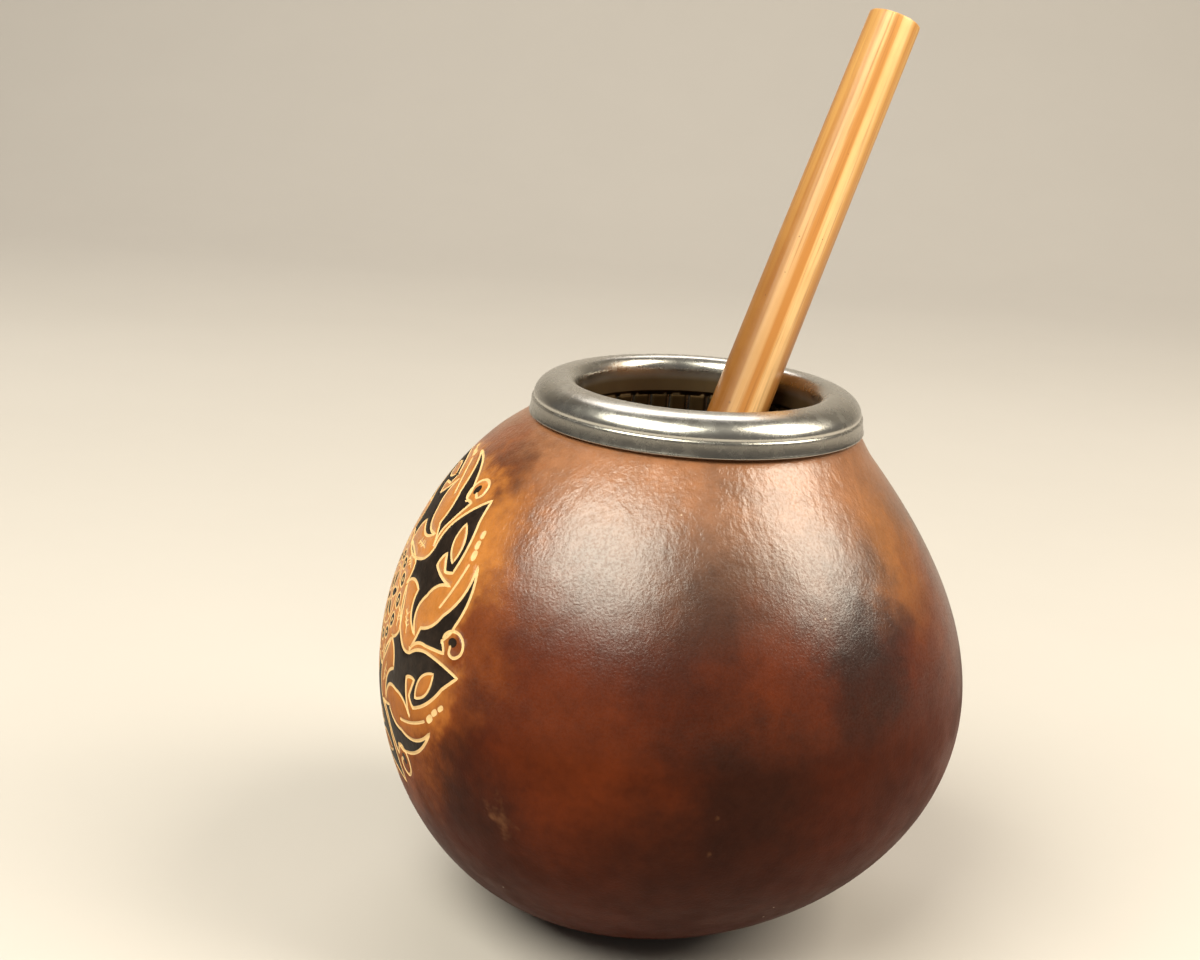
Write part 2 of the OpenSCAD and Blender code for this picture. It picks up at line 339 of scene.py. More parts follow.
class GourdForm:
    """The gourd's outside and inside as functions of height and direction, in millimetres."""

    # how the middle drifts sideways with height: the four terms of a cubic
    bow = (1.5, 1.65, 2.86, 4.38)
    # how late the drift gives way to the rim's axis, outside and inside
    neck_turn = 7
    bowl_turn = 4
    # the shoulder closes in under the skirt: how far below the skirt that starts, and how far it lifts
    shoulder_reach = 5.0
    shoulder_lift = 0.22

    def __init__(self, look, rim):
        self.look = look
        self.bowl_middle = look.mid_radius - look.wall
        self.bowl_half = look.half_height - look.wall
        self.rim_z = RIM_TOP - rim.dome
        self.rim_x = -self.drift(-look.mid_height / look.half_height)
        self.skirt = rim.skirt
        self.tab_bottom = self.rim_z - rim.band - rim.groove - rim.tab

    def drift(self, s):
        a, b, c, d = self.bow
        return -a - b * s - c * s * s + d * s ** 3

    def curve(self, radius, s):
        k = self.look
        return radius * np.sqrt(np.maximum(0.0, 1 - s * s)) * (1 - k.egg * s - k.pinch * s * s)

    def skin_radius(self, z):
        return self.curve(self.look.mid_radius, (z - self.look.mid_height) / self.look.half_height)

    def bowl_radius(self, z):
        return self.curve(self.bowl_middle, (z - self.look.mid_height) / self.bowl_half)

    def closing(self, z):
        """How far the shoulder has come in under the skirt, from 0 to 1."""
        share = np.clip((z - self.rim_z + self.skirt + self.shoulder_reach) / self.shoulder_reach, 0, 1)
        return share * share

    def climb(self, z, top):
        """How far a height has climbed from the body's middle to a top, from 0 to 1."""
        return np.clip((z - self.look.mid_height) / (top - self.look.mid_height), 0, 1)

    def centre(self, z):
        loose = (1 - self.climb(z, self.rim_z) ** self.neck_turn) * (1 - self.closing(z))
        return self.rim_x + self.drift((z - self.look.mid_height) / self.look.half_height) * loose

    def bowl_centre(self, z):
        loose = 1 - self.climb(z, self.tab_bottom) ** self.bowl_turn
        return self.rim_x - (self.rim_x - self.centre(z)) * loose

    def lumps(self, z, a):
        """Three broad lumps round the body and five lesser ones, which twist with height and fade at the ends."""
        fade = np.sin(math.pi * np.clip(z / (self.rim_z - self.skirt), 0, 1))
        waves = np.sin(3 * a + np.radians(2 * z)) + 0.4 * np.sin(5 * a - np.radians(3 * z))
        return self.look.lump * fade * waves

    def skin(self, a, z):
        r = self.skin_radius(z) + self.lumps(z, a)
        lift = self.shoulder_lift * self.closing(z)
        return np.stack([self.centre(z) + r * np.cos(a), r * np.sin(a), z + lift], -1)

    def bowl(self, a, z):
        r = self.bowl_radius(z) + self.lumps(z, a)
        return np.stack([self.bowl_centre(z) + r * np.cos(a), r * np.sin(a), z], -1)

    def outside(self, p):
        """Positive outside the skin, negative inside."""
        dx = p[..., 0] - self.centre(p[..., 2])
        a = np.arctan2(p[..., 1], dx)
        return np.hypot(dx, p[..., 1]) - self.skin_radius(p[..., 2]) - self.lumps(p[..., 2], a)

    def normal(self, p, step=0.05):
        g = np.stack([self.outside(p + step * e) - self.outside(p - step * e) for e in np.eye(3)], -1)
        return g / np.linalg.norm(g, axis=-1, keepdims=True)

    def share_at(self, radius, goal):
        """Share of the half height at which the curve has narrowed to the goal radius."""
        low, high = 0.0, 1.0
        for _ in range(HALVINGS):
            mid = (low + high) / 2
            low, high = (mid, high) if self.curve(radius, mid) >= goal else (low, mid)
        return low


def row_heights(middle, half, low, high, rows):
    """Heights between two shares of a rounded body's half height, closer together towards its ends."""
    return middle + half * np.sin(np.linspace(math.asin(low), math.asin(high), rows))


def rolled(right, up, roll):
    """A pair of crosswise directions, turned in their own plane."""
    c, s = math.cos(roll), math.sin(roll)
    return c * right + s * up, c * up - s * right


def placed(x, y, z, place):
    """The matrix whose axes are x, y and z, at a place."""
    return Matrix(((*x, 0), (*y, 0), (*z, 0), (*place, 1))).transposed()


# ---------------------------------------------------------------- the carved rosette

# One sixth of the rosette, in millimetres, x running out to the leaf's tip.
# Each corner is (x, y, arc): arc is the height of the arc to the next corner, as a share of its length.
STAR = [(7.8, 5.6, -0.10), (13.2, -1.9, -0.16), (17.4, -2.2, 0.09), (22.6, 0.3, 0.03), (30.6, 0.2, 0.0),
        (28.0, -3.2, 0.08), (21.4, -9.9, 0.05), (19.7, -8.6, 0.0), (20.6, -5.4, -0.10), (18.0, -6.2, -0.06),
        (20.4, -11.9, -0.14), (14.6, -10.2, -0.22), (9.3, -14.4, 0.20), (12.4, -7.6, -0.20),
        (8.3, -3.6, -0.14), (11.4, -1.4, -0.06)]
SLIT = [(21.6, -8.0, -0.2), (25.2, -1.9, -0.2)]
WING = [(26.8, -11.6, 0.14), (17.4, -15.8, 0.12), (11.4, -14.4, 0.04), (7.0, -15.6, 0.14),
        (11.4, -17.8, 0.0), (14.9, -21.4, -0.06), (15.6, -19.3, -0.10), (19.2, -18.9, -0.12)]
QUILL = [(25.0, -10.4, 0.05), (17.2, -14.0, 0.0)]
CURL = [(15.4, -19.6), (16.8, -18.9), (18.5, -19.4), (19.6, -20.8), (19.5, -22.5), (18.2, -23.6),
        (16.6, -23.3), (16.0, -22.1), (16.8, -21.3)]
FERNS = [[(11.9, 2.8), (13.2, 1.3), (14.2, -0.3)], [(8.6, 1.6), (9.4, 0.2), (9.6, -1.4)]]
BARBS = 3
# a drop is one short wide scoop: its middle and its half width
DROPS = [(27.4, -7.6, 0.50), (26.4, -9.2, 0.60), (28.7, -6.2, 0.42)]
SIXTHS = 6
BEADS = 12
BEAD_REACH = 6.8
BEAD_DOT = 0.26
PETAL_REACH = 2.7
RING_RADIUS = 4.95
# how heavy the lighter lines are, as shares of the cut width
SLIT_WEIGHT, QUILL_WEIGHT, STEM_WEIGHT, BARB_WEIGHT, BEAD_WEIGHT = 0.8, 0.9, 0.5, 0.45, 0.7


def arc_path(corners, closed=True, step=0.45):
    parts = []
    for i in range(len(corners) - (not closed)):
        x0, y0, swell = corners[i]
        x1, y1 = corners[(i + 1) % len(corners)][:2]
        chord = np.array([x1 - x0, y1 - y0])
        count = max(2, math.ceil(np.hypot(*chord) * (1 + 2 * swell * swell) / step))
        t = np.linspace(0, 1, count + 1)[:-1]
        side = np.array([-chord[1], chord[0]])
        parts.append(np.array([x0, y0]) + np.outer(t, chord) + np.outer(4 * swell * t * (1 - t), side))
    if not closed:
        parts.append(np.array([corners[-1][:2]]))
    return np.vstack(parts)


def smooth_path(points, step=0.4):
    """A soft line through the points, by the Catmull-Rom rule."""
    p = np.array(points, float)
    q = np.vstack([2 * p[0] - p[1], p, 2 * p[-1] - p[-2]])
    parts = []
    for i in range(1, len(q) - 2):
        a, b, c, d = q[i - 1:i + 3]
        count = max(2, math.ceil(np.hypot(*(c - b)) / step))
        t = np.linspace(0, 1, count + 1)[:-1, None]
        parts.append(0.5 * (2 * b + (c - a) * t + (2 * a - 5 * b + 4 * c - d) * t ** 2
                            + (3 * b - a - 3 * c + d) * t ** 3))
    return np.vstack(parts + [p[-1:]])


def turned(points, angle):
    c, s = math.cos(angle), math.sin(angle)
    x, y = points[:, 0], points[:, 1]
    return np.stack([x * c - y * s, x * s + y * c], -1)


def oval(x, y, rx, ry, turn=0.0, sides=14):
    t = np.linspace(0, math.tau, sides, endpoint=False)
    return turned(np.stack([rx * np.cos(t), ry * np.sin(t)], -1), turn) + (x, y)


def rosette(width):
    """The cuts as (points, closed, half width), the blackened fields and the plain islands in them."""
    half = width / 2
    cuts, fields, islands = [], [], []

    def cut(points, angle, half_width, closed=False):
        shape = turned(np.array(points), angle)
        cuts.append((shape, closed, half_width))
        return shape

    for k in range(SIXTHS):
        a = k * math.tau / SIXTHS
        fields += [cut(arc_path(outline), a, half, closed=True) for outline in (STAR, WING)]
        islands.append(cut(arc_path(SLIT), a, half * SLIT_WEIGHT, closed=True))
        cut(arc_path(QUILL, closed=False), a, half * QUILL_WEIGHT)
        cut(smooth_path(CURL), a, half)
        fields.append(turned(oval(17.6, -21.0, 1.0, 0.8, -0.7), a))
        for x, y, half_width in DROPS:
            cut([[x - 0.25, y - 0.3], [x + 0.25, y + 0.3]], a, half_width)
        for fern in FERNS:
            stem = smooth_path(fern)
            cut(stem, a, half * STEM_WEIGHT)
            for j in range(1, BARBS + 1):
                x, y = stem[int(j * (len(stem) - 1) / (BARBS + 1))]
                for side in (-1, 1):
                    cut([[x, y], [x + 0.75 * side - 0.2, y + 0.45 + 0.1 * side]], a, half * BARB_WEIGHT)
    for k in range(BEADS):
        a = (k + 0.5) * math.tau / BEADS
        fields.append(cut(oval(BEAD_REACH, 0, 1.0, 1.35, sides=18), a, half * BEAD_WEIGHT, closed=True))
        cut([[BEAD_REACH, -0.15], [BEAD_REACH, 0.15]], a, BEAD_DOT)
    for k in range(SIXTHS):
        petal = oval(PETAL_REACH, 0, 1.6, 0.85, sides=16)
        fields.append(cut(petal, (k + 0.5) * math.tau / SIXTHS, half * BEAD_WEIGHT, closed=True))
    cut(oval(0, 0, RING_RADIUS, RING_RADIUS, sides=44), 0.0, half * BEAD_WEIGHT, closed=True)
    return cuts, fields, islands


def segment_distance(points, line, closed):
    """Shortest distance from each point to a polyline."""
    starts = line if closed else line[:-1]
    ends = np.roll(line, -1, 0) if closed else line[1:]
    best = np.full(len(points), np.inf)
    for p, q in zip(starts, ends):
        d = q - p
        t = np.clip(((points - p) @ d) / max(float(d @ d), TINY), 0, 1)
        best = np.minimum(best, np.hypot(*(points - p - np.outer(t, d)).T))
    return best


def inside_polygon(points, polygon):
    x, y = points[:, 0], points[:, 1]
    hit = np.zeros(len(points), bool)
    for (x0, y0), (x1, y1) in zip(polygon, np.roll(polygon, -1, 0)):
        if y0 != y1:
            hit ^= ((y0 > y) != (y1 > y)) & (x < (x1 - x0) * (y - y0) / (y1 - y0) + x0)
    return hit


def near(points, shape, reach=0.0):
    """Which points lie within a shape's box, widened by a reach."""
    low, high = shape.min(0) - reach, shape.max(0) + reach
    return np.flatnonzero(((points >= low) & (points <= high)).all(1))


def offset_lines(line, closed, half):
    """The edges of a cut, each as a closed polyline."""
    ahead = np.roll(line, -1, 0) - np.roll(line, 1, 0) if closed else np.gradient(line, axis=0)
    ahead /= np.maximum(np.hypot(*ahead.T), TINY)[:, None]
    side = np.stack([-ahead[:, 1], ahead[:, 0]], -1)
    if closed:
        return [line + side * half, line - side * half]
    turn = np.linspace(0, math.pi, 5)[1:-1]
    caps = [centre + half * (np.outer(np.cos(turn), flank) + np.outer(np.sin(turn), forward))
            for centre, forward, flank in ((line[-1], ahead[-1], side[-1]), (line[0], -ahead[0], -side[0]))]
    return [np.vstack([line + side * half, caps[0], (line - side * half)[::-1], caps[1]])]


class Rosette:
    """Places the flat rosette on the gourd, and reads flat places back from points on the skin."""

    # the skin lies between these distances from the body's middle
    nearest, farthest = 20.0, 80.0

    def __init__(self, form, look):
        self.form = form
        self.radius = look.mid_radius
        self.origin = np.array([form.rim_x - form.bow[0], 0.0, look.mid_height])
        rise = math.asin((look.carving_height - look.mid_height) / self.radius)
        c, s = math.cos(look.carving_turn), math.sin(look.carving_turn)
        self.out = np.array([c * math.cos(rise), s * math.cos(rise), math.sin(rise)])
        right = np.array([-s, c, 0.0])
        self.right, self.up = rolled(right, np.cross(self.out, right), look.carving_roll)

    def to_skin(self, flat):
        reach = np.hypot(flat[:, 0], flat[:, 1])
        g = reach / self.radius
        unit = flat / np.maximum(reach, TINY)[:, None]
        d = (np.cos(g)[:, None] * self.out
             + np.sin(g)[:, None] * (unit[:, :1] * self.right + unit[:, 1:] * self.up))
        low, high = np.full(len(d), self.nearest), np.full(len(d), self.farthest)
        for _ in range(HALVINGS):
            mid = (low + high) / 2
            inside = self.form.outside(self.origin + d * mid[:, None]) < 0
            low, high = np.where(inside, mid, low), np.where(inside, high, mid)
        return self.origin + d * low[:, None]

    def to_flat(self, points):
        d = points - self.origin
        d /= np.linalg.norm(d, axis=1, keepdims=True)
        x, y = d @ self.right, d @ self.up
        k = self.radius * np.arccos(np.clip(d @ self.out, -1, 1)) / np.maximum(np.hypot(x, y), TINY)
        return np.stack([x * k, y * k], -1)


# ---------------------------------------------------------------- meshes

# the gourd's materials, in the order of its material slots
SKIN, CUT, SCORCH, INSIDE = range(4)
# what the mesh keeps round the carving: bare skin, the spacing of its points, and their gap to a cut
MARGIN, FILL_STEP, FILL_GAP = 1.2, 0.8, 0.34
# outlines with no more points than this are small enough to be cut into the mesh a second time
SMALL_OUTLINE = 14
# the neck stands clear of the folded sheet round it and over it, and of its own fold inside
NECK_SIDE_GAP, NECK_GAP = 0.75, 0.25
BOWL_ROWS = 44


def mesh_piece(name, points, faces, materials, kinds=None):
    """A smooth-shaded object in metres from millimetre points; kinds says which material each face takes."""
    mesh = bpy.data.meshes.new(name)
    mesh.from_pydata([tuple(p) for p in np.asarray(points, float) * MM], [], faces)
    for material in materials:
        mesh.materials.append(material)
    if kinds is not None:
        mesh.polygons.foreach_set("material_index", np.asarray(kinds, np.int32))
    mesh.shade_smooth()
    mesh.update()
    piece = bpy.data.objects.new(name, mesh)
    bpy.context.scene.collection.objects.link(piece)
    return piece


def weld(piece, distance=0.002):
    """Joins points that lie on each other."""
    bm = bmesh.new()
    bm.from_mesh(piece.data)
    bmesh.ops.remove_doubles(bm, verts=bm.verts, dist=distance * MM)
    bmesh.ops.dissolve_degenerate(bm, edges=bm.edges, dist=distance * MM)
    bm.to_mesh(piece.data)
    bm.free()
    piece.data.shade_smooth()


def bridge(low, high, columns):
    """The faces between two rings of points, each given by its first point."""
    return [(low + i, low + (i + 1) % columns, high + (i + 1) % columns, high + i) for i in range(columns)]


def closed_rows(rows, columns):
    """The faces of a turned mesh whose last ring meets its first."""
    return [face for j in range(rows) for face in bridge(j * columns, (j + 1) % rows * columns, columns)]


def skin_grid(form, look, rim):
    """Directions and heights of the outer mesh, and the radius of the neck under the rim."""
    angles = np.linspace(0, math.tau, look.columns, endpoint=False)
    neck_out = rim.out_radius - rim.sheet - NECK_SIDE_GAP
    top = form.share_at(look.mid_radius, neck_out + 0.8 * rim.skirt)
    base = -look.mid_height / look.half_height
    heights = row_heights(look.mid_height, look.half_height, base, top, look.rows + 1)
    heights[0] = 0.0
    return angles, heights, neck_out


def carved_patch(form, look, angles, heights):
    """The stretch of skin that carries the rosette, cut with its lines.

    Gives its points, faces and face kinds, the columns and rows of the outer mesh that it stands in for, and
    the rosette's place."""
    place = Rosette(form, look)
    cuts, fields, islands = rosette(look.cut_width)
    # the patch is drawn on the unrolled skin: the way round by the way up
    middle = form.skin(np.full(len(heights), look.carving_turn), heights)
    run = np.concatenate([[0], np.cumsum(np.linalg.norm(np.diff(middle, axis=0), axis=1))])
    columns = (angles - look.carving_turn) * look.mid_radius

    def unroll(points):
        a = np.arctan2(points[:, 1], points[:, 0] - form.centre(points[:, 2])) % math.tau
        return np.stack([(a - look.carving_turn) * look.mid_radius, np.interp(points[:, 2], heights, run)], -1)

    lines = []
    for line, closed, half in cuts:
        lines.append((line, closed))
        lines += [(edge, True) for edge in offset_lines(line, closed, half)]
    lines += [(shape, True) for shape in fields if len(shape) <= SMALL_OUTLINE]
    flat = [unroll(place.to_skin(line)) for line, _ in lines]
    taken = np.vstack(flat)

    low, high = taken.min(0) - MARGIN, taken.max(0) + MARGIN
    i0 = int(np.searchsorted(columns, low[0])) - 1
    i1 = int(np.searchsorted(columns, high[0]))
    j0 = max(1, int(np.searchsorted(run, low[1])) - 1)
    j1 = min(len(heights) - 1, int(np.searchsorted(run, high[1])))
    left, right, bottom, top = columns[i0], columns[i1], run[j0], run[j1]

    verts, edges = [], []

    def add(points, closed):
        start, count = len(verts), len(points)
        verts.extend(Vector(p) for p in points)
        edges.extend((start + i, start + i + 1) for i in range(count - 1))
        if closed:
            edges.append((start + count - 1, start))

    add([(columns[i], bottom) for i in range(i0, i1)] + [(right, run[j]) for j in range(j0, j1)]
        + [(columns[i], top) for i in range(i1, i0, -1)] + [(left, run[j]) for j in range(j1, j0, -1)], True)
    for (_, closed), points in zip(lines, flat):
        add(points, closed)

    # loose points fill the skin between the cuts, in offset rows
    xs = np.arange(left + FILL_STEP * 0.7, right - FILL_STEP * 0.5, FILL_STEP)
    ys = np.arange(bottom + FILL_STEP * 0.7, top - FILL_STEP * 0.5, FILL_STEP)
    gx, gy = np.meshgrid(xs, ys)
    gx = gx + (np.arange(len(ys)) % 2)[:, None] * FILL_STEP * 0.5
    fill = np.stack([gx.ravel(), gy.ravel()], -1)
    for point in fill[fill[:, 0] < right - FILL_STEP * 0.4]:
        if np.sqrt(((point - taken) ** 2).sum(-1)).min() > FILL_GAP:
            verts.append(Vector(point))

    found, _, triangles, _, _, _ = delaunay_2d_cdt(verts, edges, [], 0, 1e-4)
    unrolled = np.array([(v.x, v.y) for v in found])
    points = form.skin(look.carving_turn + unrolled[:, 0] / look.mid_radius, np.interp(unrolled[:, 1], run, heights))
    plane = place.to_flat(points)

    # every cut is a shallow trough, and the border stays on the skin
    depth = np.zeros(len(points))
    for line, closed, half in cuts:
        index = near(plane, line, half)
        d = segment_distance(plane[index], line, closed) / half
        trough = look.cut_depth * min(1.0, half / (look.cut_width / 2)) * np.maximum(0, 1 - d * d)
        depth[index] = np.maximum(depth[index], trough)
    to_side, to_end = unrolled[:, :1] - (left, right), unrolled[:, 1:] - (bottom, top)
    depth[(np.abs(np.hstack([to_side, to_end])) < 1e-3).any(1)] = 0
    points = points - form.normal(points) * depth[:, None]

    faces = [tuple(f) for f in triangles if len(f) == 3]
    centres = plane[np.array(faces)].mean(1)
    kinds = np.full(len(faces), SKIN)
    for shapes, kind in ((fields, SCORCH), (islands, SKIN)):
        for shape in shapes:
            index = near(centres, shape)
            kinds[index[inside_polygon(centres[index], shape)]] = kind
    for line, closed, half in cuts:
        index = near(centres, line, half)
        kinds[index[segment_distance(centres[index], line, closed) < half * 0.97]] = CUT
    return points, faces, kinds, (i0, i1, j0, j1), place


def build_gourd(look, rim):
    form = GourdForm(look, rim)
    angles, heights, neck_out = skin_grid(form, look, rim)
    patch_points, patch_faces, patch_kinds, (i0, i1, j0, j1), place = carved_patch(form, look, angles, heights)
    n = len(angles)
    points, faces, kinds = [], [], []

    def ring(p):
        points.extend(p)
        return len(points) - len(p)

    def add(new_faces, kind):
        faces.extend(new_faces)
        kinds.extend([kind] * len(new_faces))

    rows = [ring(form.skin(angles, np.full(n, z))) for z in heights]
    for j, (low, high) in enumerate(zip(rows, rows[1:])):
        band = bridge(low, high, n)
        # the carved patch takes this part of the band
        add(band[:i0] + band[i1:] if j0 <= j < j1 else band, SKIN)

    # the cut top of the neck, hidden under the rim
    crown = rim.in_radius + rim.roll
    neck_in = rim.in_radius + rim.sheet + NECK_GAP
    neck_top = form.rim_z + rim.dome - rim.sheet - NECK_GAP
    previous = rows[-1]
    for step, (r, z) in enumerate((
            (neck_out, heights[-1] + 1), (neck_out, form.rim_z + rim.dome / 5),
            (crown + rim.roll / 5, neck_top), (crown - rim.roll / 5, neck_top),
            (neck_in, form.rim_z + rim.dome - rim.roll))):
        start = ring(np.stack([form.rim_x + r * np.cos(angles), r * np.sin(angles), np.full(n, z)], -1))
        add(bridge(previous, start, n), INSIDE if step else SKIN)
        previous = start

    mouth = form.share_at(form.bowl_middle, neck_in)
    bottom = (look.floor - look.mid_height) / form.bowl_half
    for z in row_heights(look.mid_height, form.bowl_half, mouth, bottom, BOWL_ROWS):
        start = ring(form.bowl(angles, np.full(n, z)))
        add(bridge(previous, start, n), INSIDE)
        previous = start
    centre = ring([(float(form.bowl_centre(look.floor)), 0.0, look.floor)])
    add([(previous + i, previous + (i + 1) % n, centre) for i in range(n)], INSIDE)
    centre = ring([(float(form.centre(0.0)), 0.0, 0.0)])
    add([(rows[0] + (i + 1) % n, rows[0] + i, centre) for i in range(n)], SKIN)

    start = ring(patch_points)
    faces.extend(tuple(start + v for v in f) for f in patch_faces)
    kinds.extend(patch_kinds)
    mark = place.to_skin(np.array([[0.0, 0.0]]))[0]
    materials = [skin_material(look, tuple(mark)), cut_material(look), scorch_material(look), bowl_material()]
    piece = mesh_piece("carved_gourd", points, faces, materials, kinds)
    weld(piece)
    return piece


def build_rim(rim):
    """The folded sheet: skirt, step line, dome, roll, smooth band and gripping tabs, as one closed turned mesh."""
    z0 = RIM_TOP - rim.dome
    crown = rim.in_radius + rim.roll
    dome_r = rim.out_radius - 0.25
    # how far each small edge is eased, and how far the dome starts above the step line
    hem, step_edge, band_edge, tab_edge, tab_ease, dome_low = 0.22, 0.20, 0.18, 0.25, 0.22, 0.25
    # seen from the mouth's radius: the bottom of the groove, the tabs' faces and the back of the sheet
    deep, face, back = rim.in_radius + 0.42, rim.in_radius + 0.15, rim.in_radius + rim.sheet
    band, low = -rim.band, -rim.skirt
    low_r = rim.out_radius + rim.flare
    tab_top = band - rim.groove
    tab_end = tab_top - rim.tab
    shoulder = rim.dome - rim.roll
    profile = []

    def arc(cx, cz, rx, rz, a0, a1, steps):
        for a in np.radians(np.linspace(a0, a1, steps)):
            profile.append((cx + rx * math.cos(a), cz + rz * math.sin(a)))

    # outside, from the skirt's hem up over the dome into the mouth
    arc(low_r - hem, low + hem, hem, hem, -90, 0, 5)
    for s in np.linspace(0.15, 0.92, 8):
        profile.append((low_r - rim.flare * s - 0.06 * math.sin(math.pi * s), low + rim.skirt * s))
    arc(rim.out_radius - step_edge, -0.14, step_edge, step_edge, 0, 90, 6)
    profile += [(dome_r - 0.06, 0.03), (dome_r - 0.10, 0.10)]
    arc(crown, dome_low, dome_r - crown - 0.02, rim.dome - dome_low, 3, 90, 20)
    arc(crown, shoulder, rim.roll, rim.roll, 96, 180, 12)
    profile += [(rim.in_radius, z) for z in np.linspace(shoulder - 0.5, band + 0.2, 5)]
    arc(rim.in_radius + band_edge, band + band_edge, band_edge, band_edge, 180, 270, 4)
    profile += [(deep, band), (deep, tab_top)]
    first_tab = len(profile)
    arc(face + tab_edge, tab_top - tab_ease, tab_edge, tab_ease, 90, 180, 4)
    profile += [(face, z) for z in np.linspace(tab_top - 0.6, tab_end + 0.6, 5)]
    arc(face + tab_edge, tab_end + tab_ease, tab_edge, tab_ease, 180, 270, 4)
    last_tab = len(profile)
    # and back along the hidden side of the sheet
    profile += [(back, tab_end), (back, tab_top), (back, shoulder)]
    arc(crown, shoulder, rim.roll - rim.sheet, rim.roll - rim.sheet, 170, 90, 6)
    arc(crown, dome_low, dome_r - crown - rim.sheet, rim.dome - dome_low - rim.sheet, 80, 0, 8)
    profile += [(rim.out_radius - rim.sheet, 0.0), (low_r - rim.sheet, low + 0.1), (low_r - rim.sheet + 0.1, low)]

    # columns: each tab has its own, close together at its slot
    step = math.tau / rim.tabs
    half = rim.slot / 2 / rim.in_radius
    soft = half + tab_edge / rim.in_radius
    flat = soft + 0.012
    marks = [-half, half, soft, flat] + [flat + (step - 2 * flat) * k / 6 for k in range(1, 6)]
    marks += [step - flat, step - soft]
    angles = np.array([k * step + m for k in range(rim.tabs) for m in marks])
    kind = np.tile(["slot", "slot", "edge"] + ["face"] * (len(marks) - 4) + ["edge"], rim.tabs)
    wave = 0.05 * np.sin(angles * 7 + 1.3) + 0.04 * np.sin(angles * 13)
    points = []
    for row, (r, z) in enumerate(profile):
        radius = np.full(len(angles), r)
        if first_tab <= row < last_tab:
            radius[kind == "edge"] = max(r, face + 0.02)
            radius = np.where(kind == "slot", back - 0.06, radius + wave)
        points.extend(zip(RIM_X + radius * np.cos(angles), RIM_Y + radius * np.sin(angles),
                          np.full(len(angles), z0 + z)))
    return mesh_piece("folded_rim", points, closed_rows(len(profile), len(angles)), [rim_material(rim)])


def build_straw(look):
    """A cane tube, a little bowed and out of round, with eased cut ends."""
    c, s = math.cos(look.lean), math.sin(look.lean)
    ct, st = math.cos(look.turn), math.sin(look.turn)
    axis, across = Vector((s * ct, s * st, c)), Vector((c * ct, c * st, -s))
    low_r, high_r, bore = look.foot_width / 2, look.top_width / 2, look.bore / 2
    # the CAD box touches the foot's rim at its low corner and the top's rim at its high corner
    reach = [math.sqrt(max(0.0, 1 - part ** 2)) for part in axis]
    foot = Vector([low + low_r * r for low, r in zip(Vector(STRAW_BOX[0]) / MM, reach)])
    top = Vector([high - high_r * r for high, r in zip(Vector(STRAW_BOX[1]) / MM, reach)])
    length = (top - foot).length

    # rings along the tube: height, radius, and whether the ring is out of round
    ease, sides = 0.45, 96
    rows = [(0.0, bore + 0.25, False), (0.0, low_r - ease, False)]
    for a in np.radians((60, 30, 0)):
        rows.append((ease * (1 - math.sin(a)) * 0.6, low_r - ease + ease * math.cos(a), True))
    for s in np.linspace(0.02, 0.985, 60):
        rows.append((length * s, low_r + (high_r - low_r) * s, True))
    for a in np.radians((0, 25, 50, 75)):
        rows.append((length - ease * (1 - math.sin(a)) * 0.8, high_r - ease + ease * math.cos(a), True))
    rows += [(length, high_r - ease - 0.1, False), (length, bore + 0.3, False),
             (length - 0.1, bore + 0.08, False), (length - 0.35, bore, False)]
    rows += [(length * s, bore, False) for s in np.linspace(0.98, 0.02, 14)]

    angles = np.linspace(0, math.tau, sides, endpoint=False)
    points = []
    for t, r, outer in rows:
        s = t / length
        shape = np.full(sides, r)
        if outer:
            shape = (shape - 0.05 + 0.05 * np.cos(2 * angles + 0.8 + 1.2 * s)
                     + 0.022 * np.cos(5 * angles + 2.0 * s) + 0.012 * np.cos(11 * angles - 1.0))
        bend = look.bow * math.sin(math.pi * s)
        points.extend(zip(shape * np.cos(angles) - bend, shape * np.sin(angles), np.full(sides, t)))
    piece = mesh_piece("bamboo_straw", points, closed_rows(len(rows), sides), [cane_material(look, length)])
    piece.matrix_world = placed(across, axis.cross(across), axis, [part * MM for part in foot])
    return piece


# ---------------------------------------------------------------- materials

